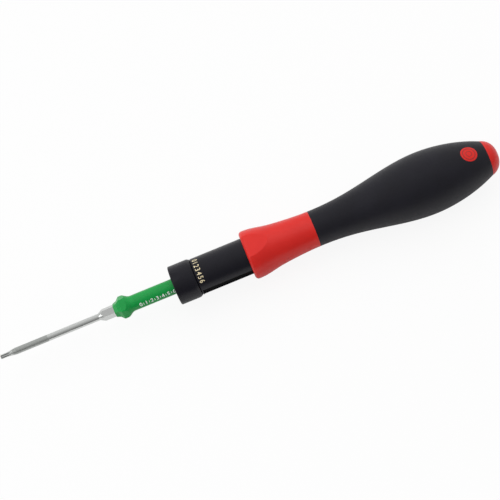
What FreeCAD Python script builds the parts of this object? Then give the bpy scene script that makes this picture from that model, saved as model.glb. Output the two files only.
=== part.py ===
"""Adjustable torque screwdriver with a six-lobe blade, in millimetres.

The axis lies along X. The origin is the centre of the nose collar's front face, +X runs
to the rear of the handle and the blade's tip points to -X. +Z is up through the round
inlay of the handle, and the scale window is on the -Y side.
"""

import FreeCAD
import Part
import math
import os

# ---------------------------------------------------------------- driving dimensions

# The barrel's diameter leads: fit scales the inside, which is given for a 13.8 mm barrel
barrel_diameter = 13.8
fit = barrel_diameter / 13.8

# Blade: a six-lobe tip, a round shaft and a hexagon shank
blade_reach = 68.0
tip_diameter = 1.72
tip_root_diameter = 1.24
tip_flute_radius = 0.34
tip_straight = 2.3
tip_taper = 3.7
tip_flute_length = 5.1
tip_flute_runout = 2.4
tip_edge_chamfer = 0.12
lobe_count = 6
shaft_diameter = 2.5
shaft_length = 32.4
shaft_cone = 1.9
shank_across_flats = 4.0
shank_chamfer = 0.5
hex_roll = 12.7
shank_notch_depth = 0.18
shank_notch_width = 1.0

# Colour sleeve moulded on the shank
sleeve_diameter = 5.8
sleeve_flare_diameter = 8.6
sleeve_crest_across_flats = 7.6
sleeve_step_across_flats = 5.3
sleeve_mouth_wall = 0.2
sleeve_lip = 1.4
sleeve_front_cone = 1.35
sleeve_crest = 1.3
sleeve_neck = 3.0
sleeve_reach = 23.5
sleeve_depth = 3.0

# Nose collar
collar_step = 0.45
collar_length = 8.3
collar_rear_chamfer = 0.95
collar_front_round = 0.35
collar_flat_count = 2
collar_flat_length = 4.0
collar_flat_depth = 0.30
collar_mouth_diameter = 6.4

# Spindle and the ring that holds the blade
spindle_diameter = 8.4 * fit
spindle_setback = 0.25
spindle_flange_diameter = 10.1 * fit
spindle_flange_thickness = 1.5
spindle_tail_diameter = 5.9 * fit
socket_depth = 17.0
socket_end_wall = 0.6
ring_outer_diameter = 6.6 * fit
ring_thickness = 0.8
ring_place = 1.6
ring_opening = 60.0

# Clutch: balls seated in pockets
pocket_count = 12
ball_count = 6
ball_diameter = 2.0 * fit
ball_circle_diameter = 8.0 * fit
pocket_depth = 0.45
clutch_ring_thickness = 2.0
clutch_ring_gap = 0.7
clutch_disc_diameter = 10.3 * fit
clutch_lift = 0.5
spring_washer_thickness = 0.5

# Torque spring
spring_wire = 1.0 * fit
spring_mean_diameter = 8.1 * fit
spring_length = 10.0
spring_turns = 5.0

# Spring nut, its index and the adjusting screw
nut_length = 4.0
nut_travel = 4.0
key_width = 1.9 * fit
key_height = 0.5 * fit
screw_diameter = 6.0 * fit
screw_flange_diameter = 9.6 * fit
screw_flange_thickness = 1.5
screw_flange_gap = 0.5
screw_neck_diameter = 5.0 * fit
screw_tail = 5.0
screw_slot_width = 1.3 * fit
screw_slot_depth = 2.3
thrust_washer_thickness = 0.5
clip_thickness = 0.6
clip_diameter = 7.0 * fit
clip_groove_diameter = 3.8 * fit
clip_opening = 70.0
index_width = 2.2 * fit
index_thickness = 0.35 * fit
index_tab_width = 1.2 * fit
index_tab_length = 1.2

# Barrel with its window
barrel_bore = 10.6 * fit
barrel_show = 19.9
barrel_seat = 5.7
barrel_nose_wall = 2.6
barrel_inner_wall = 3.2
barrel_front_chamfer = 0.3
spigot_diameter = 10.0 * fit
spigot_length = 15.0
spigot_flats = 8.8 * fit
spigot_bore = 7.6 * fit
bush_wall = 0.6
bush_flange_thickness = 0.5
window_turn = 10.0
window_width = 5.8 * fit
window_start = 0.6
window_cover = 1.5
window_floor = 0.35 * fit
strip_thickness = 0.15
lens_foot = 0.15
lens_groove = 0.8 * fit
lens_ramp_length = 0.7
lens_ramp_height = 1.0

# Handle: a red core with a guard, a soft grip and an end cap
guard_diameter = 18.34
guard_front_round = 1.3
guard_crest_place = 2.0
guard_flat_count = 2
guard_flat_apothem = 8.1
guard_length = 26.1
waist_diameter = 13.5
waist_place = 29.5
bulge_diameter = 23.5
bulge_place = 69.4
handle_length = 93.3
handle_end_diameter = 13.4
grip_wall = 2.0
inlay_diameter = 6.0
inlay_setback = 6.6
cap_length = 4.15
cap_end_diameter = 5.9
cap_plug_length = 3.0
cap_plug_diameter = 7.0

# Adjuster shaft to the rear
adjuster_diameter = 4.0
adjuster_head_diameter = 5.2
adjuster_head_length = 5.9
key_socket_across_flats = 3.0
key_socket_depth = 5.0
key_hole_diameter = 4.5
rear_bush_length = 6.2

# Clearances
running_clearance = 0.05
slide_clearance = 0.1
axial_play = 0.05
collar_gap = 0.12

# ---------------------------------------------------------------- places along the axis

tip_x = -blade_reach
taper_end_x = tip_x + tip_straight + tip_taper
cone_start_x = taper_end_x + shaft_length
shank_start_x = cone_start_x + shaft_cone
spindle_front_x = sleeve_depth + spindle_setback
socket_end_x = spindle_front_x + socket_depth
blade_end_x = socket_end_x - slide_clearance
ring_x = spindle_front_x + ring_place

collar_diameter = barrel_diameter + 2 * collar_step
barrel_front_x = collar_length + collar_gap
bush_flange_x = barrel_front_x + barrel_nose_wall
flange_front_x = bush_flange_x + bush_flange_thickness + axial_play
flange_rear_x = flange_front_x + spindle_flange_thickness
spindle_end_x = socket_end_x + socket_end_wall
ball_x = flange_rear_x + ball_diameter / 2 - pocket_depth
clutch_ring_x = flange_rear_x + clutch_ring_gap
spring_washer_x = clutch_ring_x + clutch_ring_thickness
spring_x = spring_washer_x + spring_washer_thickness
nut_x = spring_x + spring_length
nut_end_x = nut_x + nut_length
screw_front_x = nut_x - nut_travel - slide_clearance
screw_flange_x = nut_end_x + screw_flange_gap
screw_flange_end_x = screw_flange_x + screw_flange_thickness
thrust_washer_x = screw_flange_end_x + axial_play
inner_wall_x = thrust_washer_x + thrust_washer_thickness
inner_wall_end_x = inner_wall_x + barrel_inner_wall
clip_x = inner_wall_end_x + axial_play
screw_end_x = clip_x + clip_thickness + screw_tail

guard_front_x = barrel_front_x + barrel_show
guard_crest_x = guard_front_x + guard_crest_place
barrel_shoulder_x = guard_front_x + barrel_seat
spigot_end_x = barrel_shoulder_x + spigot_length
seam_x = guard_front_x + guard_length
handle_end_x = guard_front_x + handle_length
cap_end_x = handle_end_x + cap_length
plug_x = handle_end_x - cap_plug_length
rear_bush_x = plug_x - rear_bush_length
adjuster_front_x = screw_end_x - screw_slot_depth + slide_clearance
adjuster_head_x = rear_bush_x + axial_play
adjuster_end_x = adjuster_head_x + adjuster_head_length

index_front_x = spring_x + clutch_lift + nut_travel + slide_clearance
window_x = barrel_front_x + window_start
window_end_x = guard_front_x + window_cover
window_floor_y = -(barrel_bore / 2 + window_floor)
lens_foot_y = window_floor_y - strip_thickness
lens_ledge_y = lens_foot_y - lens_foot
index_inner_y = -(spring_mean_diameter + spring_wire) / 2 - slide_clearance
index_outer_y = index_inner_y - index_thickness
slot_x = index_front_x - nut_travel - slide_clearance
slot_end_x = index_front_x + index_tab_length + slide_clearance

AXIS = FreeCAD.Vector(1, 0, 0)
ORIGIN = FreeCAD.Vector(0, 0, 0)
FAR = 2 * bulge_diameter


# ---------------------------------------------------------------- shape helpers

def at(x, r):
    """A point of a turned outline: x along the axis, r from it."""
    return FreeCAD.Vector(x, 0, r)


def cylinder(x0, x1, diameter):
    return Part.makeCylinder(diameter / 2, x1 - x0, FreeCAD.Vector(x0, 0, 0), AXIS)


def cone(x0, d0, x1, d1):
    return Part.makeCone(d0 / 2, d1 / 2, x1 - x0, FreeCAD.Vector(x0, 0, 0), AXIS)


def tube(x0, x1, outer, inner):
    return cylinder(x0, x1, outer).cut(cylinder(x0, x1, inner))


def box(x0, x1, y0, y1, z0, z1):
    return Part.makeBox(x1 - x0, y1 - y0, z1 - z0, FreeCAD.Vector(x0, y0, z0))


def polygon_wire(x, across_flats, sides, roll):
    """A regular polygon across the axis, a flat centred on +Z when roll is 0."""
    radius = across_flats / 2 / math.cos(math.pi / sides)
    points = []
    for i in range(sides + 1):
        turn = math.radians(roll) + (i + 0.5) * 2 * math.pi / sides
        points.append(FreeCAD.Vector(x, -radius * math.sin(turn), radius * math.cos(turn)))
    return Part.makePolygon(points)


def hex_prism(x0, x1, across_flats, roll=0.0):
    face = Part.Face(polygon_wire(x0, across_flats, 6, roll))
    return face.extrude(FreeCAD.Vector(x1 - x0, 0, 0))


def hex_taper(x0, across0, x1, across1, roll=0.0):
    ends = [polygon_wire(x0, across0, 6, roll), polygon_wire(x1, across1, 6, roll)]
    return Part.makeLoft(ends, True, True)


def turned(edges):
    """A solid turned about the axis from an open outline that starts and ends off it."""
    first = edges[0].valueAt(edges[0].FirstParameter)
    last = edges[-1].valueAt(edges[-1].LastParameter)
    closing = [
        Part.makeLine(last, at(last.x, 0)),
        Part.makeLine(at(last.x, 0), at(first.x, 0)),
        Part.makeLine(at(first.x, 0), first),
    ]
    face = Part.Face(Part.Wire(edges + closing))
    return face.revolve(ORIGIN, AXIS, 360)


def line(start, end):
    return Part.makeLine(start, end)


def arc(start, middle, end):
    return Part.Arc(start, middle, end).toShape()


def spline(points):
    curve = Part.BSplineCurve()
    curve.interpolate(points)
    return curve.toShape()


def around(shape, count, start=0.0):
    """Copies of a shape, evenly spaced about the axis."""
    copies = []
    for i in range(count):
        copy = shape.copy()
        copy.rotate(ORIGIN, AXIS, start + 360.0 * i / count)
        copies.append(copy)
    return copies


def open_ring(x0, thickness, outer, inner, opening):
    """A flat spring ring with a gap of so many degrees towards -Z."""
    ring = tube(x0, x0 + thickness, outer, inner)
    half = math.radians(opening / 2)
    reach = outer
    points = [
        FreeCAD.Vector(x0, 0, 0),
        FreeCAD.Vector(x0, -reach * math.sin(half), -reach * math.cos(half)),
        FreeCAD.Vector(x0, reach * math.sin(half), -reach * math.cos(half)),
        FreeCAD.Vector(x0, 0, 0),
    ]
    wedge = Part.Face(Part.makePolygon(points)).extrude(FreeCAD.Vector(thickness, 0, 0))
    return ring.cut(wedge)


# ---------------------------------------------------------------- blade

def tip_flute():
    """One flute of the six-lobe tip, which runs out of the taper in an arc."""
    centre_z = tip_root_diameter / 2 + tip_flute_radius
    straight_end = tip_x + tip_flute_length - tip_flute_runout
    runout_rise = shaft_diameter / 2 - tip_root_diameter / 2
    bend = (tip_flute_runout ** 2 + runout_rise ** 2) / (2 * runout_rise)
    half = math.asin(tip_flute_runout / bend) / 2
    start = at(tip_x - tip_flute_radius, centre_z)
    knee = at(straight_end, centre_z)
    middle = at(
        straight_end + bend * math.sin(half), centre_z + bend * (1 - math.cos(half))
    )
    end = at(straight_end + tip_flute_runout, centre_z + runout_rise)
    path = Part.Wire([line(start, knee), arc(knee, middle, end)])
    ring = Part.Wire(Part.makeCircle(tip_flute_radius, start, AXIS))
    return path.makePipeShell([ring], True, False)


def driver_blade():
    chamfer = tip_edge_chamfer
    outline = [
        line(at(tip_x, tip_diameter / 2 - chamfer), at(tip_x + chamfer, tip_diameter / 2)),
        line(at(tip_x + chamfer, tip_diameter / 2), at(tip_x + tip_straight, tip_diameter / 2)),
        line(at(tip_x + tip_straight, tip_diameter / 2), at(taper_end_x, shaft_diameter / 2)),
        line(at(taper_end_x, shaft_diameter / 2), at(shank_start_x, shaft_diameter / 2)),
    ]
    shaft = turned(outline).cut(Part.makeCompound(around(tip_flute(), lobe_count)))
    shank_corner = shank_across_flats / math.cos(math.pi / 6)
    hexagon = hex_prism(cone_start_x, blade_end_x, shank_across_flats, hex_roll)
    envelope = cone(cone_start_x, shaft_diameter, shank_start_x, shank_corner)
    envelope = envelope.fuse(cylinder(shank_start_x, blade_end_x - shank_chamfer, shank_corner))
    envelope = envelope.fuse(
        cone(
            blade_end_x - shank_chamfer,
            shank_corner,
            blade_end_x,
            shank_corner - 2 * shank_chamfer,
        )
    )
    notch_x = ring_x + ring_thickness / 2 - shank_notch_width / 2
    notch = tube(
        notch_x,
        notch_x + shank_notch_width,
        shank_corner * 2,
        shank_corner - 2 * shank_notch_depth,
    )
    shank = hexagon.common(envelope).cut(notch)
    return shaft.fuse(shank).removeSplitter()


def blade_sleeve():
    mouth_x = -sleeve_reach
    step_x = mouth_x + sleeve_lip
    crest_x = step_x + sleeve_front_cone
    crest_end_x = crest_x + sleeve_crest
    neck_x = crest_end_x + sleeve_neck
    crest_r = sleeve_flare_diameter / 2
    body_r = sleeve_diameter / 2
    rise = crest_r - body_r
    outline = [
        line(at(mouth_x, crest_r), at(crest_end_x, crest_r)),
        spline(
            [
                at(crest_end_x, crest_r),
                at(crest_end_x + sleeve_neck * 0.5, body_r + rise * 0.38),
                at(crest_end_x + sleeve_neck * 0.8, body_r + rise * 0.06),
                at(neck_x, body_r),
            ]
        ),
        line(at(neck_x, body_r), at(sleeve_depth, body_r)),
    ]
    sleeve = turned(outline)
    mouth_across = shank_across_flats + 2 * sleeve_mouth_wall
    lip = hex_taper(mouth_x, mouth_across, step_x, sleeve_step_across_flats, hex_roll)
    front = hex_taper(
        step_x, sleeve_step_across_flats, crest_x, sleeve_crest_across_flats, hex_roll
    )
    rear = hex_prism(crest_x, sleeve_depth, sleeve_crest_across_flats, hex_roll)
    sleeve = sleeve.common(lip.fuse(front).fuse(rear))
    return sleeve.cut(hex_prism(mouth_x, sleeve_depth, shank_across_flats, hex_roll))


# ---------------------------------------------------------------- nose

def nose_collar():
    r = collar_diameter / 2
    rear_r = barrel_diameter / 2
    soft = collar_front_round
    outline = [
        arc(
            at(0, r - soft),
            at(soft * (1 - math.cos(math.pi / 4)), r - soft * (1 - math.sin(math.pi / 4))),
            at(soft, r),
        ),
        line(at(soft, r), at(collar_length - collar_rear_chamfer, r)),
        line(at(collar_length - collar_rear_chamfer, r), at(collar_length, rear_r)),
    ]
    collar = turned(outline)
    tilt = math.degrees(math.atan2(collar_flat_depth, collar_flat_length))
    flat = Part.makeBox(
        2 * collar_flat_length,
        collar_diameter,
        collar_diameter,
        FreeCAD.Vector(-collar_flat_length, -r, r - collar_flat_depth),
    )
    flat.rotate(at(0, r - collar_flat_depth), FreeCAD.Vector(0, 1, 0), -tilt)
    collar = collar.cut(Part.makeCompound(around(flat, collar_flat_count)))
    collar = collar.cut(cylinder(0, spindle_front_x, collar_mouth_diameter))
    return collar.cut(cylinder(spindle_front_x, collar_length, spindle_diameter))


def nose_bush():
    bore = spindle_diameter + 2 * running_clearance
    body = tube(barrel_front_x, bush_flange_x, bore + 2 * bush_wall, bore)
    flange_end_x = bush_flange_x + bush_flange_thickness
    flange = tube(bush_flange_x, flange_end_x, barrel_bore - 2 * slide_clearance, bore)
    return body.fuse(flange).removeSplitter()


# ---------------------------------------------------------------- spindle and clutch

def spindle():
    body = cylinder(spindle_front_x, flange_front_x, spindle_diameter)
    body = body.fuse(cylinder(flange_front_x, flange_rear_x, spindle_flange_diameter))
    body = body.fuse(cylinder(flange_rear_x, spindle_end_x, spindle_tail_diameter))
    socket_across = shank_across_flats + 2 * running_clearance
    body = body.cut(hex_prism(spindle_front_x, socket_end_x, socket_across, hex_roll))
    body = body.cut(cylinder(ring_x, ring_x + ring_thickness, ring_outer_diameter))
    pocket_radius = ball_diameter / 2 + running_clearance
    pocket = Part.makeSphere(pocket_radius, at(ball_x, ball_circle_diameter / 2))
    return body.cut(Part.makeCompound(around(pocket, pocket_count))).removeSplitter()


def blade_retaining_ring():
    corner = (shank_across_flats + 2 * running_clearance) / math.cos(math.pi / 6)
    inner = corner + 2 * running_clearance
    return open_ring(ring_x, ring_thickness, ring_outer_diameter, inner, ring_opening)


def clutch_balls():
    ball = Part.makeSphere(ball_diameter / 2, at(ball_x, ball_circle_diameter / 2))
    return Part.makeCompound(around(ball, ball_count))


def key_lugs(x0, x1, disc_diameter):
    """Two keys, up and down, that slide in the barrel's keyways."""
    reach = barrel_bore / 2 + key_height
    inner = disc_diameter / 2 - key_height
    lug = box(x0, x1, -key_width / 2, key_width / 2, inner, reach)
    return around(lug, 2)


def clutch_ring():
    end_x = clutch_ring_x + clutch_ring_thickness
    bore = spindle_tail_diameter + 2 * slide_clearance
    ring = cylinder(clutch_ring_x, end_x, clutch_disc_diameter)
    for lug in key_lugs(clutch_ring_x, end_x, clutch_disc_diameter):
        ring = ring.fuse(lug)
    ring = ring.cut(cylinder(clutch_ring_x, end_x, bore))
    seat = Part.makeSphere(ball_diameter / 2, at(ball_x, ball_circle_diameter / 2))
    return ring.cut(Part.makeCompound(around(seat, ball_count)))


def spring_washer():
    bore = spindle_tail_diameter + 2 * slide_clearance
    end_x = spring_washer_x + spring_washer_thickness
    return tube(spring_washer_x, end_x, clutch_disc_diameter, bore)


def torque_spring():
    """A coil ground flat at both ends."""
    pitch = spring_length / spring_turns
    height = spring_length + spring_wire / 2
    coil_path = Part.makeHelix(pitch, height, spring_mean_diameter / 2)
    section = Part.makeCircle(
        spring_wire / 2,
        FreeCAD.Vector(spring_mean_diameter / 2, 0, 0),
        FreeCAD.Vector(0, 1, 0),
    )
    coil = Part.Wire(coil_path).makePipeShell([Part.Wire(section)], True, True)
    coil.rotate(ORIGIN, FreeCAD.Vector(0, 1, 0), 90)
    coil.translate(FreeCAD.Vector(spring_x - spring_wire / 4, 0, 0))
    outer = spring_mean_diameter + 2 * spring_wire
    return coil.common(cylinder(spring_x, spring_x + spring_length, outer))


# ---------------------------------------------------------------- torque setting

def swing(shape):
    """A shape drawn on the -Y side, swung about the axis to the window's place."""
    copy = shape.copy()
    copy.rotate(ORIGIN, AXIS, window_turn)
    return copy


def spring_nut():
    disc = cylinder(nut_x, nut_end_x, clutch_disc_diameter)
    for lug in key_lugs(nut_x, nut_end_x, clutch_disc_diameter):
        disc = disc.fuse(lug)
    disc = disc.cut(cylinder(nut_x, nut_end_x, screw_diameter + 2 * running_clearance))
    return disc.cut(swing(index_root()))


def index_root():
    """The part of the index strip that is let into the nut."""
    half = index_width / 2
    return box(nut_x, nut_x + nut_length / 2, -FAR, index_inner_y, -half, half)


def index_pointer():
    half = index_width / 2
    root_end_x = nut_x + nut_length / 2
    strip = box(index_front_x, root_end_x, index_outer_y, index_inner_y, -half, half)
    half_tab = index_tab_width / 2
    tab_y = lens_foot_y + running_clearance
    tab_end_x = index_front_x + index_tab_length
    tab = box(index_front_x, tab_end_x, tab_y, index_outer_y, -half_tab, half_tab)
    return swing(strip.fuse(tab).removeSplitter())


def adjusting_screw():
    screw = cylinder(screw_front_x, screw_flange_x, screw_diameter)
    screw = screw.fuse(cylinder(screw_flange_x, screw_flange_end_x, screw_flange_diameter))
    screw = screw.fuse(cylinder(screw_flange_end_x, screw_end_x, screw_neck_diameter))
    groove_end_x = clip_x + clip_thickness
    screw = screw.cut(tube(clip_x, groove_end_x, screw_flange_diameter, clip_groove_diameter))
    slot_front_x = screw_end_x - screw_slot_depth
    half = screw_slot_width / 2
    return screw.cut(box(slot_front_x, screw_end_x, -FAR, FAR, -half, half))


def thrust_washer():
    bore = screw_neck_diameter + 2 * slide_clearance
    end_x = thrust_washer_x + thrust_washer_thickness
    return tube(thrust_washer_x, end_x, barrel_bore - 2 * slide_clearance, bore)


def screw_clip():
    return open_ring(clip_x, clip_thickness, clip_diameter, clip_groove_diameter, clip_opening)


def adjuster_shaft():
    tongue_end_x = screw_end_x + slide_clearance
    half = screw_slot_width / 2 - running_clearance
    tongue = cylinder(adjuster_front_x, tongue_end_x, adjuster_diameter)
    tongue = tongue.common(box(adjuster_front_x, tongue_end_x, -FAR, FAR, -half, half))
    shaft = cylinder(tongue_end_x, adjuster_head_x, adjuster_diameter)
    head = cylinder(adjuster_head_x, adjuster_end_x, adjuster_head_diameter)
    socket_x = adjuster_end_x - key_socket_depth
    socket = hex_prism(socket_x, adjuster_end_x, key_socket_across_flats)
    return tongue.fuse(shaft).fuse(head).cut(socket).removeSplitter()


def rear_bush():
    bore = adjuster_head_diameter + 2 * running_clearance
    return tube(rear_bush_x, plug_x, cap_plug_diameter, bore)


# ---------------------------------------------------------------- barrel and window

def barrel():
    r = barrel_diameter / 2
    edge = barrel_front_chamfer
    outline = [
        line(at(barrel_front_x, r - edge), at(barrel_front_x + edge, r)),
        line(at(barrel_front_x + edge, r), at(barrel_shoulder_x, r)),
    ]
    spigot = cylinder(barrel_shoulder_x, spigot_end_x, spigot_diameter)
    half = spigot_flats / 2
    spigot = spigot.common(box(barrel_shoulder_x, spigot_end_x, -FAR, FAR, -half, half))
    shell = turned(outline).fuse(spigot)
    bush_seat = spindle_diameter + 2 * running_clearance + 2 * bush_wall
    shell = shell.cut(cylinder(barrel_front_x, bush_flange_x, bush_seat))
    shell = shell.cut(cylinder(bush_flange_x, inner_wall_x, barrel_bore))
    neck = screw_neck_diameter + 2 * running_clearance
    shell = shell.cut(cylinder(inner_wall_x, inner_wall_end_x, neck))
    shell = shell.cut(cylinder(inner_wall_end_x, spigot_end_x, spigot_bore))
    keyway_half = key_width / 2 + running_clearance
    keyway_top = barrel_bore / 2 + key_height + slide_clearance
    keyway = box(bush_flange_x, inner_wall_x, -keyway_half, keyway_half, 0, keyway_top)
    shell = shell.cut(Part.makeCompound(around(keyway, 2)))
    shell = shell.cut(swing(window_block(-FAR, window_floor_y, 0)))
    return shell.cut(swing(index_slot()))


def window_block(y0, y1, inset):
    """A block of the window's plan, smaller all round by the inset."""
    half = window_width / 2 - inset
    return box(window_x + inset, window_end_x - inset, y0, y1, -half, half)


def index_slot():
    half = index_tab_width / 2 + 2 * slide_clearance
    return box(slot_x, slot_end_x, lens_foot_y, -spring_mean_diameter / 2, -half, half)


def scale_strip():
    return swing(window_block(lens_foot_y, window_floor_y, 0).cut(index_slot()))


def scale_lens():
    """The window's lens: a foot in the barrel, a crown flush with it, a ramp at the guard."""
    foot = window_block(lens_ledge_y, lens_foot_y, 0)
    r = barrel_diameter / 2
    ramp_x = guard_front_x - lens_ramp_length
    ramp_end_x = guard_front_x + guard_front_round / 2
    ramp = turned(
        [
            line(at(ramp_x, r), at(guard_front_x, r + lens_ramp_height)),
            line(at(guard_front_x, r + lens_ramp_height), at(ramp_end_x, r + lens_ramp_height)),
        ]
    )
    envelope = cylinder(window_x, window_end_x, barrel_diameter).fuse(ramp.cut(guard_shape()))
    crown = window_block(-FAR, lens_ledge_y, lens_groove).common(envelope)
    return swing(foot.fuse(crown).removeSplitter())


# ---------------------------------------------------------------- handle

def handle_outline(skin):
    """Outline of the handle from the guard's crest to the cap, moved in by the skin."""
    waist_x = guard_front_x + waist_place
    bulge_x = guard_front_x + bulge_place
    guard_r = guard_diameter / 2
    waist_r = waist_diameter / 2
    bulge_r = bulge_diameter / 2
    end_r = handle_end_diameter / 2
    fall = waist_x - guard_crest_x
    swell = bulge_x - waist_x
    tail = handle_end_x - bulge_x
    points = [
        at(guard_crest_x, guard_r),
        at(guard_crest_x + 0.14 * fall, waist_r + 0.83 * (guard_r - waist_r)),
        at(guard_crest_x + 0.27 * fall, waist_r + 0.54 * (guard_r - waist_r)),
        at(guard_crest_x + 0.45 * fall, waist_r + 0.28 * (guard_r - waist_r)),
        at(guard_crest_x + 0.67 * fall, waist_r + 0.08 * (guard_r - waist_r)),
        at(waist_x, waist_r),
        at(waist_x + 0.30 * swell, waist_r + 0.20 * (bulge_r - waist_r)),
        at(waist_x + 0.68 * swell, waist_r + 0.74 * (bulge_r - waist_r)),
        at(bulge_x, bulge_r),
        at(bulge_x + 0.48 * tail, end_r + 0.78 * (bulge_r - end_r)),
        at(bulge_x + 0.78 * tail, end_r + 0.41 * (bulge_r - end_r)),
        at(handle_end_x, end_r),
    ]
    return spline([point - FreeCAD.Vector(0, 0, skin) for point in points])


def handle_body(skin):
    return turned([handle_outline(skin)])


def ahead_of_seam():
    """The space in front of the seam between guard and grip."""
    return box(guard_front_x, seam_x, -FAR, FAR, -FAR, FAR)


def guard_flats():
    """Blocks that leave an arched flat above and below, so that the tool doesn't roll."""
    half = guard_diameter / 2
    cutter = box(guard_front_x, seam_x, -half, half, guard_flat_apothem, guard_diameter)
    return Part.makeCompound(around(cutter, guard_flat_count))


def guard_shape():
    """The guard's outside: turned, with its flats, then rounded all along its front edge."""
    land = cylinder(guard_front_x, guard_crest_x, guard_diameter)
    guard = handle_body(0).common(ahead_of_seam()).fuse(land).removeSplitter()
    guard = guard.cut(guard_flats())
    front_end_x = guard_front_x + guard_front_round / 2
    front_edges = [edge for edge in guard.Edges if edge.BoundBox.XMax < front_end_x]
    return guard.makeFillet(guard_front_round, front_edges)


def inlay_post():
    """The round boss that shows through the soft grip, flush with it."""
    inlay_x = handle_end_x - inlay_setback
    return Part.makeCylinder(inlay_diameter / 2, FAR, FreeCAD.Vector(inlay_x, 0, 0))


def handle_core():
    post = handle_body(0).common(inlay_post())
    core = guard_shape().fuse(handle_body(grip_wall)).fuse(post).removeSplitter()
    core = core.cut(cylinder(guard_front_x, barrel_shoulder_x, barrel_diameter))
    spigot_hole = cylinder(barrel_shoulder_x, spigot_end_x, spigot_diameter)
    half = spigot_flats / 2
    flats = box(barrel_shoulder_x, spigot_end_x, -FAR, FAR, -half, half)
    core = core.cut(spigot_hole.common(flats))
    shaft_hole = adjuster_diameter + 6 * slide_clearance
    core = core.cut(cylinder(spigot_end_x, rear_bush_x, shaft_hole))
    return core.cut(cylinder(rear_bush_x, handle_end_x, cap_plug_diameter))


def soft_grip():
    outer = handle_body(0).cut(ahead_of_seam())
    return outer.cut(handle_body(grip_wall)).cut(inlay_post())


def end_cap():
    rim_r = handle_end_diameter / 2
    end_r = cap_end_diameter / 2
    dome = arc(
        at(handle_end_x, rim_r),
        at(handle_end_x + 0.62 * cap_length, end_r + 0.65 * (rim_r - end_r)),
        at(cap_end_x, end_r),
    )
    plug = cylinder(plug_x, handle_end_x, cap_plug_diameter)
    cap = turned([dome]).fuse(plug)
    return cap.cut(cylinder(plug_x, cap_end_x, key_hole_diameter)).removeSplitter()


PIECES = {
    "driver_blade": driver_blade,
    "blade_sleeve": blade_sleeve,
    "nose_collar": nose_collar,
    "nose_bush": nose_bush,
    "spindle": spindle,
    "blade_retaining_ring": blade_retaining_ring,
    "clutch_balls": clutch_balls,
    "clutch_ring": clutch_ring,
    "spring_washer": spring_washer,
    "torque_spring": torque_spring,
    "spring_nut": spring_nut,
    "index_pointer": index_pointer,
    "adjusting_screw": adjusting_screw,
    "thrust_washer": thrust_washer,
    "screw_clip": screw_clip,
    "adjuster_shaft": adjuster_shaft,
    "rear_bush": rear_bush,
    "barrel": barrel,
    "scale_strip": scale_strip,
    "scale_lens": scale_lens,
    "handle_core": handle_core,
    "soft_grip": soft_grip,
    "end_cap": end_cap,
}

os.makedirs("parts", exist_ok=True)
for name, make in PIECES.items():
    make().exportStep("parts/" + name + ".step")
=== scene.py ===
"""Finishes, printed scales and studio for an adjustable torque screwdriver.

The tool lies along X with its tip towards -X. The round inlay looks up +Z and the scale
window is on the -Y side. Lengths are in metres, and a turn about the axis is counted in
degrees from +Z towards -Y.
"""

import math

import bpy
from mathutils import Matrix, Vector


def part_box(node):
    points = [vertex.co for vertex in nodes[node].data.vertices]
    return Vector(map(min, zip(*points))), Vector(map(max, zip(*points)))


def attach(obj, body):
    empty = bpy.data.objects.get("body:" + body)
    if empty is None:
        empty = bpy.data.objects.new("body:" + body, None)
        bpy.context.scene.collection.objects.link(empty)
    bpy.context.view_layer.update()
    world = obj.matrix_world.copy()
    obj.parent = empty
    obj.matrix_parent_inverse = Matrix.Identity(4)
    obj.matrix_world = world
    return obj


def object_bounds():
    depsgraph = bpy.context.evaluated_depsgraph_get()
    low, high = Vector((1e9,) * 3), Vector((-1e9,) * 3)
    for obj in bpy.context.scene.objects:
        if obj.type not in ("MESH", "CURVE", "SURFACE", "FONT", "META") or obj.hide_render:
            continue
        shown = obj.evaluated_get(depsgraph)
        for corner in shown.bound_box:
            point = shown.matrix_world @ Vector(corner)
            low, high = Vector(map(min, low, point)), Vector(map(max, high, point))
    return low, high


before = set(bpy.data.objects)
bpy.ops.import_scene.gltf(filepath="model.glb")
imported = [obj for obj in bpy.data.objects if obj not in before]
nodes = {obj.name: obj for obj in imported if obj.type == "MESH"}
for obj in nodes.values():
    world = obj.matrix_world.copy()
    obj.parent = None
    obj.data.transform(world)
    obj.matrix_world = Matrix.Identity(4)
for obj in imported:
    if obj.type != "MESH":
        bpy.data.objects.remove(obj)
cad_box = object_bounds()

MM = 0.001

# ---------------------------------------------------------------- sizes and places

barrel_low, barrel_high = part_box("barrel")
blade_low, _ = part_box("driver_blade")
pointer_low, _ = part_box("index_pointer")
_, grip_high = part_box("soft_grip")

# print
print_lift = 0.012 * MM
print_thickness = 0.03 * MM
weld_distance = 0.001 * MM
digit_share_of_size = 0.7

# numbers round the barrel
barrel_radius = barrel_high.z
barrel_marks_x = barrel_low.x + 1.7 * MM
barrel_marks_turn = -33.0
barrel_marks_step = 12.6
barrel_mark_count = 7
barrel_digit_height = 1.9 * MM
barrel_digit_boldness = 0.01
barrel_digit_narrowing = 0.84

# numbers and ticks along the blade's sleeve
sleeve_radius = 2.9 * MM
sleeve_marks_turn = 60.7
sleeve_marks_start = -13.6 * MM
sleeve_marks_step = 2.15 * MM
sleeve_mark_count = 7
sleeve_digit_height = 1.5 * MM
sleeve_digit_boldness = 0.03
sleeve_tick_width = 0.22 * MM
sleeve_tick_length = 0.6 * sleeve_digit_height

# marks in the window, with offsets from its middle line
window_turn = 100.0
strip_face_radius = 5.8 * MM
index_travel = 4.0 * MM
pointer_tab_half = 0.6 * MM
window_mark_count = 6
window_digit_height = 0.75 * MM
window_digit_offset = 1.85 * MM
window_tick_width = 0.12 * MM
window_tick_length = 0.45 * MM
window_tick_offset = 1.15 * MM

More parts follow.
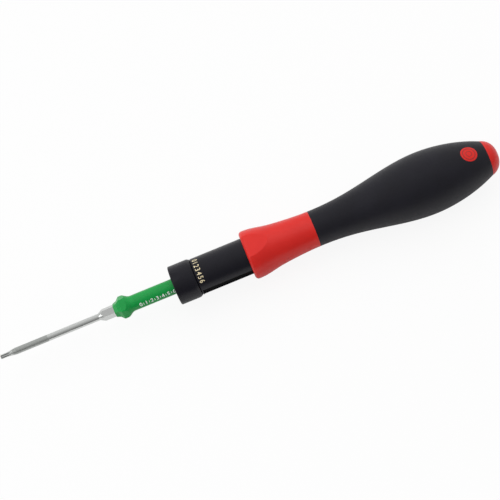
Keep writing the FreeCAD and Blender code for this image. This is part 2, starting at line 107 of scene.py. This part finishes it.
# where the finish of a piece changes
matte_tip_length = 18.5 * MM
matte_edge_half = 0.15 * MM
flute_length = 5.0 * MM
flute_fade = 1.6 * MM
# the flutes go from painted shade at the first radius to a painted highlight at the second
flute_root_radius = 0.62 * MM
flute_crest_radius = 0.82 * MM
# below this radius the lens's foot is painted near black as the groove's shade
lens_crown_radius = 6.5 * MM
lens_edge_half = 0.05 * MM

# inlay
inlay_place = grip_high.x - 6.6 * MM
ring_corners = 96

# camera
camera_elevation = 65.5
camera_roll = 22.31
camera_distance = 0.42
camera_sensor_width = 36
view_width = 0.18116
view_centre_x = 30.17 * MM
view_centre_lift = 1.68 * MM

# floor and room
floor_size = 6
floor_centre_x = 0.03
floor_gap = 0.02 * MM
floor_tone = 0.88
floor_seen_white = 0.9
room_dim_level = 0.12
room_bright_level = 0.85


# ---------------------------------------------------------------- modelling helpers

def deselect():
    bpy.ops.object.select_all(action="DESELECT")


def work_on(piece):
    deselect()
    piece.select_set(True)
    bpy.context.view_layer.objects.active = piece


def on_axis(x, radius, turn):
    """The point at x, radius from the axis, at that turn."""
    angle = math.radians(turn)
    return Vector((x, -radius * math.sin(angle), radius * math.cos(angle)))


def facing_out(x, radius, turn, reading):
    """A place on a round body: Z points out, and X reads round it or along it."""
    out = on_axis(0, 1, turn)
    along = Vector((1, 0, 0))
    if reading == "round":
        right = out.cross(along) * -1
    else:
        right = along
    up = out.cross(right)
    place = Matrix((right, up, out)).transposed().to_4x4()
    place.translation = on_axis(x, radius, turn)
    return place


def settle(piece, place):
    """Moves a piece to its place and leaves its object at the origin."""
    work_on(piece)
    piece.matrix_world = place @ piece.matrix_world
    bpy.ops.object.transform_apply(location=True, rotation=True, scale=True)
    return piece


def printed_text(words, height, place, boldness=0.0, narrow=1.0):
    """Flat digits of that height, centred on the place."""
    deselect()
    bpy.ops.object.text_add()
    letters = bpy.context.object
    letters.data.body = words
    letters.data.size = height / digit_share_of_size
    letters.data.offset = boldness * height
    letters.data.align_x = "CENTER"
    letters.data.align_y = "CENTER"
    letters.scale = (narrow, 1, 1)
    bpy.ops.object.convert(target="MESH")
    bpy.ops.object.transform_apply(scale=True)
    return settle(bpy.context.object, place)


def printed_line(width, length, place):
    """A flat tick, centred on the place."""
    deselect()
    bpy.ops.mesh.primitive_plane_add(size=1)
    mark = bpy.context.object
    mark.scale = (width, length, 1)
    bpy.ops.object.transform_apply(scale=True)
    return settle(mark, place)


def joined(name, pieces):
    deselect()
    for piece in pieces:
        piece.select_set(True)
    bpy.context.view_layer.objects.active = pieces[0]
    bpy.ops.object.join()
    whole = bpy.context.object
    whole.name = name
    whole.data.name = name
    return whole


def laid_on(piece, carrier, cuts):
    """Print that follows the surface that carries it and has its own thin body."""
    work_on(piece)
    bpy.ops.object.mode_set(mode="EDIT")
    bpy.ops.mesh.select_all(action="SELECT")
    bpy.ops.mesh.remove_doubles(threshold=weld_distance)
    bpy.ops.mesh.subdivide(number_cuts=cuts)
    bpy.ops.mesh.quads_convert_to_tris()
    bpy.ops.object.mode_set(mode="OBJECT")
    wrap = piece.modifiers.new("lay", "SHRINKWRAP")
    wrap.target = nodes[carrier]
    wrap.wrap_method = "NEAREST_SURFACEPOINT"
    wrap.wrap_mode = "ABOVE_SURFACE"
    wrap.offset = print_lift
    bpy.ops.object.modifier_apply(modifier=wrap.name)
    thicken(piece, print_thickness)
    return piece


def thicken(piece, thickness):
    """Gives a flat piece a thin body below its face."""
    body = piece.modifiers.new("body", "SOLIDIFY")
    body.thickness = thickness
    body.offset = -1
    bpy.ops.object.modifier_apply(modifier=body.name)


def give_finish(piece, finish):
    piece.data.materials.clear()
    piece.data.materials.append(finish)


# ---------------------------------------------------------------- finish helpers

# stretches of a grain that leave lines round the axis, or no lines
TURNED = (12, 0.6, 0.6)
EVEN = (1, 1, 1)

# first input, second input and result of a Mix node, by what it mixes
MIX_SOCKETS = {"RGBA": (6, 7, 2), "FLOAT": (2, 3, 0)}


def shade(red, green, blue):
    """A colour as it is seen, 0 to 255, in the shader's linear values."""
    seen = [value / 255 for value in (red, green, blue)]
    linear = [v / 12.92 if v < 0.04045 else ((v + 0.055) / 1.055) ** 2.4 for v in seen]
    return (*linear, 1.0)


def blank_finish(name):
    finish = bpy.data.materials.new(name)
    finish.use_nodes = True
    shader = finish.node_tree.nodes["Principled BSDF"]
    return finish, shader


def put(shader, kind):
    return shader.id_data.nodes.new(kind)


def link(shader, source, target):
    shader.id_data.links.new(source, target)


def place_on_piece(shader, stretch=EVEN):
    """Object coordinates, stretched along the piece's own axes."""
    coordinates = put(shader, "ShaderNodeTexCoord")
    mapping = put(shader, "ShaderNodeMapping")
    mapping.inputs["Scale"].default_value = stretch
    link(shader, coordinates.outputs["Object"], mapping.inputs["Vector"])
    return mapping.outputs["Vector"]


def grain(shader, size, detail=3.0, stretch=EVEN):
    """Noise whose grains measure about size."""
    noise = put(shader, "ShaderNodeTexNoise")
    noise.inputs["Scale"].default_value = 1 / size
    noise.inputs["Detail"].default_value = detail
    link(shader, place_on_piece(shader, stretch), noise.inputs["Vector"])
    return noise.outputs[0]


def spread(shader, source, low, high, start=0.3, end=0.7):
    """A value from low to high as the source goes from start to end."""
    span = put(shader, "ShaderNodeMapRange")
    span.inputs["From Min"].default_value = start
    span.inputs["From Max"].default_value = end
    span.inputs["To Min"].default_value = low
    span.inputs["To Max"].default_value = high
    link(shader, source, span.inputs["Value"])
    return span.outputs["Result"]


def from_axis(shader, vector):
    """Distance from the tool's axis, in metres."""
    flatten = put(shader, "ShaderNodeVectorMath")
    flatten.operation = "MULTIPLY"
    flatten.inputs[1].default_value = (0, 1, 1)
    link(shader, vector, flatten.inputs[0])
    length = put(shader, "ShaderNodeVectorMath")
    length.operation = "LENGTH"
    link(shader, flatten.outputs[0], length.inputs[0])
    return length.outputs["Value"]


def blend_colours(shader, share, first, second):
    """From one fixed colour to another as the share goes from 0 to 1."""
    first_socket, second_socket, result = MIX_SOCKETS["RGBA"]
    mix = put(shader, "ShaderNodeMix")
    mix.data_type = "RGBA"
    mix.inputs[first_socket].default_value = first
    mix.inputs[second_socket].default_value = second
    link(shader, share, mix.inputs[0])
    return mix.outputs[result]


def cloudy(shader, noise, dark, light):
    """A colour that wanders between a darker and a lighter one with the noise."""
    return blend_colours(shader, spread(shader, noise, 0, 1), dark, light)


def zone(shader, share, first, second, kind="RGBA"):
    """The second pattern where the share is 1, the first where it is 0."""
    first_socket, second_socket, result = MIX_SOCKETS[kind]
    mix = put(shader, "ShaderNodeMix")
    mix.data_type = kind
    link(shader, share, mix.inputs[0])
    link(shader, first, mix.inputs[first_socket])
    link(shader, second, mix.inputs[second_socket])
    return mix.outputs[result]


def relief(shader, height, depth, strength=1.0, ease=0.0):
    """Bump of that depth, over edges eased to that radius."""
    bump = put(shader, "ShaderNodeBump")
    bump.inputs["Distance"].default_value = depth
    bump.inputs["Strength"].default_value = strength
    link(shader, height, bump.inputs["Height"])
    if ease:
        edges = put(shader, "ShaderNodeBevel")
        edges.samples = 6
        edges.inputs["Radius"].default_value = ease
        link(shader, edges.outputs["Normal"], bump.inputs["Normal"])
    link(shader, bump.outputs["Normal"], shader.inputs["Normal"])


def moulded(name, dark, light, roughness, grain_size, depth, gloss=0.5, ease=0.0):
    """Moulded plastic: a cloudy colour, uneven gloss and a fine surface."""
    finish, shader = blank_finish(name)
    cloud = grain(shader, 9 * MM, detail=4.0)
    link(shader, cloudy(shader, cloud, dark, light), shader.inputs["Base Color"])
    patches = grain(shader, 2.5 * MM, detail=5.0)
    uneven = spread(shader, patches, roughness - 0.04, roughness + 0.04)
    link(shader, uneven, shader.inputs["Roughness"])
    shader.inputs["Specular IOR Level"].default_value = gloss
    relief(shader, grain(shader, grain_size, detail=4.0), depth, ease=ease)
    return finish


def worked_metal(name, dark, light, roughness, grain_size, depth, stretch, ease=0.0):
    """Metal with the fine lines of its last working."""
    finish, shader = blank_finish(name)
    shader.inputs["Metallic"].default_value = 1.0
    lines = grain(shader, grain_size, detail=6.0, stretch=stretch)
    link(shader, cloudy(shader, lines, dark, light), shader.inputs["Base Color"])
    uneven = spread(shader, lines, roughness - 0.05, roughness + 0.05)
    link(shader, uneven, shader.inputs["Roughness"])
    relief(shader, lines, depth, ease=ease)
    return finish


def print_ink(name, dark, light):
    """Ink that covers a little unevenly."""
    finish, shader = blank_finish(name)
    patch = grain(shader, 0.15 * MM, detail=3.0)
    link(shader, cloudy(shader, patch, dark, light), shader.inputs["Base Color"])
    link(shader, spread(shader, patch, 0.4, 0.55), shader.inputs["Roughness"])
    shader.inputs["Metallic"].default_value = 0.0
    return finish


# ---------------------------------------------------------------- finishes

def blade_steel():
    """Ground steel, blasted towards the tip, with painted shade at the flutes' root and a painted
    highlight on their crests.
    """
    finish, shader = blank_finish("blade_steel")
    shader.inputs["Metallic"].default_value = 1.0
    place = place_on_piece(shader)
    lines = grain(shader, 0.2 * MM, detail=4.0, stretch=TURNED)
    ground = cloudy(shader, lines, shade(206, 208, 206), shade(216, 218, 216))
    blast = grain(shader, 0.12 * MM, detail=3.0)
    blasted = cloudy(shader, blast, shade(172, 175, 172), shade(190, 193, 190))
    # painted shade in the flute roots and a painted highlight on their crests, by distance from the
    # axis
    flute_shade_share = spread(shader, from_axis(shader, place), 0, 1, flute_root_radius, flute_crest_radius)
    flute_painted_shade_and_highlight = blend_colours(shader, flute_shade_share, shade(126, 128, 128), shade(232, 234, 232))

    axis = put(shader, "ShaderNodeSeparateXYZ")
    link(shader, place, axis.inputs["Vector"])
    matte_end = blade_low.x + matte_tip_length
    matte_start, matte_stop = matte_end - matte_edge_half, matte_end + matte_edge_half
    matte = spread(shader, axis.outputs["X"], 1, 0, matte_start, matte_stop)
    flute_end = blade_low.x + flute_length
    tip = spread(shader, axis.outputs["X"], 1, 0, flute_end - flute_fade, flute_end)
    colour = zone(shader, tip, zone(shader, matte, ground, blasted), flute_painted_shade_and_highlight)
    link(shader, colour, shader.inputs["Base Color"])

    polished = spread(shader, lines, 0.2, 0.27)
    dull = spread(shader, blast, 0.4, 0.5)
    worn = spread(shader, blast, 0.3, 0.38)
    shaft = zone(shader, matte, polished, dull, "FLOAT")
    roughness = zone(shader, tip, shaft, worn, "FLOAT")
    link(shader, roughness, shader.inputs["Roughness"])
    relief(shader, lines, depth=0.001 * MM, strength=0.5, ease=0.03 * MM)
    return finish


def green_plastic():
    return moulded(
        "green_plastic", shade(2, 148, 62), shade(8, 158, 70),
        roughness=0.3, grain_size=0.2 * MM, depth=0.004 * MM, gloss=0.35, ease=0.16 * MM,
    )


def red_plastic():
    return moulded(
        "red_plastic", shade(214, 32, 25), shade(222, 38, 30),
        roughness=0.33, grain_size=0.25 * MM, depth=0.004 * MM, gloss=0.35, ease=0.22 * MM,
    )


def dark_red_plastic():
    return moulded(
        "dark_red_plastic", shade(150, 26, 24), shade(164, 32, 28),
        roughness=0.4, grain_size=0.2 * MM, depth=0.004 * MM,
    )


def black_rubber():
    finish = moulded(
        "black_rubber", shade(14, 13, 22), shade(19, 18, 28),
        roughness=0.5, grain_size=0.16 * MM, depth=0.012 * MM, gloss=0.3, ease=0.1 * MM,
    )
    shader = finish.node_tree.nodes["Principled BSDF"]
    shader.inputs["Sheen Weight"].default_value = 0.05
    shader.inputs["Sheen Roughness"].default_value = 0.5
    return finish


def black_anodised():
    return moulded(
        "black_anodised", shade(9, 8, 18), shade(14, 13, 24),
        roughness=0.34, grain_size=0.1 * MM, depth=0.003 * MM, gloss=0.32, ease=0.15 * MM,
    )


def smoked_lens():
    """Dark glossy crown over a foot painted near black as shade, which shows in the groove round
    it.
    """
    finish, shader = blank_finish("smoked_lens")
    haze = grain(shader, 4 * MM, detail=3.0)
    height = from_axis(shader, place_on_piece(shader))
    crown_start, crown_full = lens_crown_radius - lens_edge_half, lens_crown_radius + lens_edge_half
    crown = spread(shader, height, 0, 1, crown_start, crown_full)
    smoke = cloudy(shader, haze, shade(40, 40, 44), shade(48, 48, 53))
    # the foot is painted near black as shade in the groove round the lens
    groove_painted_shade = cloudy(shader, haze, shade(6, 6, 9), shade(9, 9, 12))
    link(shader, zone(shader, crown, groove_painted_shade, smoke), shader.inputs["Base Color"])
    gloss = spread(shader, haze, 0.14, 0.2)
    matt = spread(shader, haze, 0.6, 0.7)
    link(shader, zone(shader, crown, matt, gloss, "FLOAT"), shader.inputs["Roughness"])
    link(shader, spread(shader, crown, 0.02, 0.45, 0, 1), shader.inputs["Specular IOR Level"])
    link(shader, spread(shader, crown, 0.0, 0.55, 0, 1), shader.inputs["Transmission Weight"])
    relief(shader, grain(shader, 1.2 * MM, detail=2.0), depth=0.002 * MM, strength=0.5)
    return finish


def gold_ink():
    return print_ink("gold_ink", shade(226, 208, 164), shade(246, 232, 194))


def white_ink():
    return print_ink("white_ink", shade(234, 238, 235), shade(250, 252, 250))


def bronze():
    return worked_metal(
        "bronze", shade(176, 132, 78), shade(200, 154, 96),
        roughness=0.35, grain_size=0.3 * MM, depth=0.002 * MM, stretch=TURNED,
    )


def hard_steel():
    return worked_metal(
        "hard_steel", shade(150, 150, 152), shade(176, 176, 178),
        roughness=0.3, grain_size=0.3 * MM, depth=0.002 * MM, stretch=TURNED, ease=0.05 * MM,
    )


def blackened_steel():
    return worked_metal(
        "blackened_steel", shade(34, 34, 38), shade(48, 48, 52),
        roughness=0.42, grain_size=0.3 * MM, depth=0.002 * MM, stretch=TURNED,
    )


def spring_steel():
    return worked_metal(
        "spring_steel", shade(92, 94, 100), shade(124, 126, 130),
        roughness=0.32, grain_size=0.2 * MM, depth=0.002 * MM, stretch=EVEN,
    )


def ball_steel():
    return worked_metal(
        "ball_steel", shade(200, 202, 206), shade(214, 216, 220),
        roughness=0.1, grain_size=0.4 * MM, depth=0.0005 * MM, stretch=EVEN,
    )


def index_white():
    return moulded(
        "index_white", shade(226, 226, 220), shade(238, 238, 232),
        roughness=0.45, grain_size=0.2 * MM, depth=0.003 * MM,
    )


def natural_plastic():
    return moulded(
        "natural_plastic", shade(206, 200, 184), shade(218, 212, 198),
        roughness=0.5, grain_size=0.3 * MM, depth=0.006 * MM,
    )


def finish_nodes():
    steel = hard_steel()
    spring = spring_steel()
    red = red_plastic()
    black = black_anodised()
    finishes = {
        "driver_blade": blade_steel(),
        "blade_sleeve": green_plastic(),
        "nose_collar": black,
        "barrel": black,
        "scale_strip": black,
        "scale_lens": smoked_lens(),
        "handle_core": red,
        "end_cap": red,
        "soft_grip": black_rubber(),
        "nose_bush": bronze(),
        "thrust_washer": bronze(),
        "spindle": blackened_steel(),
        "clutch_ring": steel,
        "spring_nut": steel,
        "adjusting_screw": steel,
        "adjuster_shaft": steel,
        "spring_washer": spring,
        "torque_spring": spring,
        "blade_retaining_ring": spring,
        "screw_clip": spring,
        "clutch_balls": ball_steel(),
        "index_pointer": index_white(),
        "rear_bush": natural_plastic(),
    }
    for name, finish in finishes.items():
        give_finish(nodes[name], finish)


# ---------------------------------------------------------------- printed scales

def barrel_numbers():
    """Plain numbers printed round the barrel behind the collar."""
    marks = []
    for i in range(barrel_mark_count):
        turn = barrel_marks_turn + i * barrel_marks_step
        place = facing_out(barrel_marks_x, barrel_radius, turn, "round")
        marks.append(printed_text(
            str(i), barrel_digit_height, place, barrel_digit_boldness, barrel_digit_narrowing
        ))
    numbers = laid_on(joined("barrel_numbers", marks), "barrel", cuts=3)
    give_finish(numbers, gold_ink())
    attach(numbers, "handle")
    return numbers


def sleeve_numbers():
    """Plain numbers and ticks printed along the blade's sleeve."""
    marks = []
    for i in range(sleeve_mark_count):
        x = sleeve_marks_start + i * sleeve_marks_step
        place = facing_out(x, sleeve_radius, sleeve_marks_turn, "along")
        marks.append(printed_text(str(i), sleeve_digit_height, place, sleeve_digit_boldness))
        if i < sleeve_mark_count - 1:
            between = x + sleeve_marks_step / 2
            place = facing_out(between, sleeve_radius, sleeve_marks_turn, "along")
            marks.append(printed_line(sleeve_tick_width, sleeve_tick_length, place))
    numbers = laid_on(joined("sleeve_numbers", marks), "blade_sleeve", cuts=3)
    give_finish(numbers, white_ink())
    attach(numbers, "blade")
    return numbers


def window_scale():
    """The scale beside the slot that the index travels in."""
    first_x = pointer_low.x + pointer_tab_half
    step = index_travel / (window_mark_count - 1)
    marks = []
    for i in range(window_mark_count):
        middle = facing_out(first_x - i * step, strip_face_radius, window_turn, "along")
        for side in (-1, 1):
            place = middle @ Matrix.Translation((0, side * window_tick_offset, 0))
            marks.append(printed_line(window_tick_width, window_tick_length, place))
        place = middle @ Matrix.Translation((0, window_digit_offset, 0))
        marks.append(printed_text(str(i + 1), window_digit_height, place))
    scale = laid_on(joined("window_scale", marks), "scale_strip", cuts=1)
    give_finish(scale, white_ink())
    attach(scale, "handle")
    return scale


# ---------------------------------------------------------------- inlay

def inlay_ring(name, outer, inner):
    """A thin moulded ring on the round inlay, which follows the handle's curve."""
    deselect()
    bpy.ops.mesh.primitive_circle_add(vertices=ring_corners, radius=outer, fill_type="NGON")
    ring = bpy.context.object
    ring.name = name
    bpy.ops.object.mode_set(mode="EDIT")
    bpy.ops.mesh.select_all(action="SELECT")
    bpy.ops.mesh.inset(thickness=outer - inner)
    bpy.ops.mesh.delete(type="FACE")
    bpy.ops.mesh.select_all(action="SELECT")
    bpy.ops.mesh.subdivide(number_cuts=1)
    bpy.ops.object.mode_set(mode="OBJECT")
    settle(ring, Matrix.Translation((inlay_place, 0, grip_high.z)))
    wrap = ring.modifiers.new("lay", "SHRINKWRAP")
    wrap.target = nodes["handle_core"]
    wrap.wrap_method = "PROJECT"
    wrap.use_project_z = True
    wrap.use_negative_direction = True
    wrap.use_positive_direction = False
    wrap.offset = 2 * print_lift
    bpy.ops.object.modifier_apply(modifier=wrap.name)
    thicken(ring, 2 * print_thickness)
    give_finish(ring, dark_red_plastic())
    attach(ring, "handle")
    return ring


# ---------------------------------------------------------------- studio

def seen_rays(tree):
    """1 for what the camera sees, also through glass."""
    rays = tree.nodes.new("ShaderNodeLightPath")
    either = tree.nodes.new("ShaderNodeMath")
    either.operation = "MAXIMUM"
    tree.links.new(rays.outputs["Is Camera Ray"], either.inputs[0])
    tree.links.new(rays.outputs["Is Transmission Ray"], either.inputs[1])
    return either.outputs[0]


def pale_floor():
    """A matt floor that the camera sees as almost white, with the tool's shadow."""
    deselect()
    height = cad_box[0].z - floor_gap
    bpy.ops.mesh.primitive_plane_add(size=floor_size, location=(floor_centre_x, 0, height))
    floor = bpy.context.object
    floor.name = "floor"
    finish = bpy.data.materials.new("pale_floor")
    finish.use_nodes = True
    tree = finish.node_tree
    tree.nodes.clear()
    matt = tree.nodes.new("ShaderNodeBsdfDiffuse")
    matt.inputs["Color"].default_value = (floor_tone, floor_tone, floor_tone, 1)
    white = tree.nodes.new("ShaderNodeEmission")
    white.inputs["Strength"].default_value = 1.0
    share = tree.nodes.new("ShaderNodeMath")
    share.operation = "MULTIPLY"
    share.inputs[1].default_value = floor_seen_white
    tree.links.new(seen_rays(tree), share.inputs[0])
    mix = tree.nodes.new("ShaderNodeMixShader")
    tree.links.new(share.outputs[0], mix.inputs[0])
    tree.links.new(matt.outputs[0], mix.inputs[1])
    tree.links.new(white.outputs[0], mix.inputs[2])
    output = tree.nodes.new("ShaderNodeOutputMaterial")
    tree.links.new(mix.outputs[0], output.inputs["Surface"])
    floor.data.materials.append(finish)


def soft_world(bright_side):
    """A plain room, brighter on one side, that the camera sees as white."""
    world = bpy.data.worlds.new("soft_world")
    bpy.context.scene.world = world
    world.use_nodes = True
    tree = world.node_tree
    background = tree.nodes["Background"]
    background.inputs["Color"].default_value = (1, 1, 1, 1)
    direction = tree.nodes.new("ShaderNodeTexCoord")
    side = tree.nodes.new("ShaderNodeVectorMath")
    side.operation = "DOT_PRODUCT"
    side.inputs[1].default_value = bright_side
    tree.links.new(direction.outputs["Generated"], side.inputs[0])
    level = tree.nodes.new("ShaderNodeMapRange")
    level.inputs["From Min"].default_value = -1.0
    level.inputs["To Min"].default_value = room_dim_level
    level.inputs["To Max"].default_value = room_bright_level
    tree.links.new(side.outputs["Value"], level.inputs["Value"])
    rays = tree.nodes.new("ShaderNodeLightPath")
    seen = tree.nodes.new("ShaderNodeMath")
    seen.operation = "MAXIMUM"
    tree.links.new(level.outputs["Result"], seen.inputs[0])
    tree.links.new(rays.outputs["Is Camera Ray"], seen.inputs[1])
    tree.links.new(seen.outputs[0], background.inputs["Strength"])


def view_axes():
    """The camera's right, up and back, and the way across the tool as it sees it."""
    angle = math.radians(camera_elevation)
    roll = math.radians(camera_roll)
    back = Vector((0, -math.cos(angle), math.sin(angle)))
    along = Vector((1, 0, 0))
    across = back.cross(along)
    right = along * math.cos(roll) - across * math.sin(roll)
    up = along * math.sin(roll) + across * math.cos(roll)
    return right, up, back, across


def aimed(thing, location, right, up, back):
    place = Matrix((right, up, back)).transposed().to_4x4()
    place.translation = location
    thing.matrix_world = place


def softbox(name, direction, distance, size, level):
    """A square lamp that alone would light a facing white surface to that level."""
    lamp = bpy.data.lights.new(name, "AREA")
    lamp.size = size
    lamp.energy = level * math.pi ** 2 * distance ** 2
    thing = bpy.data.objects.new(name, lamp)
    bpy.context.scene.collection.objects.link(thing)
    back = direction.normalized()
    right = Vector((0, 0, 1)).cross(back).normalized()
    target = Vector((view_centre_x, 0, 0))
    aimed(thing, target + back * distance, right, back.cross(right), back)
    return thing


def studio():
    right, up, back, across = view_axes()
    target = Vector((view_centre_x, 0, 0)) + across * view_centre_lift
    data = bpy.data.cameras.new("camera")
    data.sensor_width = camera_sensor_width
    data.lens = camera_sensor_width * camera_distance / view_width
    data.clip_start = 0.01
    data.clip_end = 20
    camera = bpy.data.objects.new("camera", data)
    bpy.context.scene.collection.objects.link(camera)
    aimed(camera, target + back * camera_distance, right, up, back)
    bpy.context.scene.camera = camera
    bpy.context.scene.view_settings.view_transform = "Standard"

    key = softbox("key", back + across, distance=1.2, size=1.4, level=0.5)
    key.visible_glossy = False
    towards_tip_side = back * 0.55 + across * 0.15 - Vector((0.82, 0, 0))
    softbox("side", towards_tip_side, distance=1.0, size=0.45, level=0.16)
    soft_world(across)
    pale_floor()


finish_nodes()
barrel_numbers()
sleeve_numbers()
window_scale()
inlay_ring("inlay_outer_ring", outer=2.35 * MM, inner=2.05 * MM)
inlay_ring("inlay_inner_ring", outer=1.15 * MM, inner=0.9 * MM)
studio()
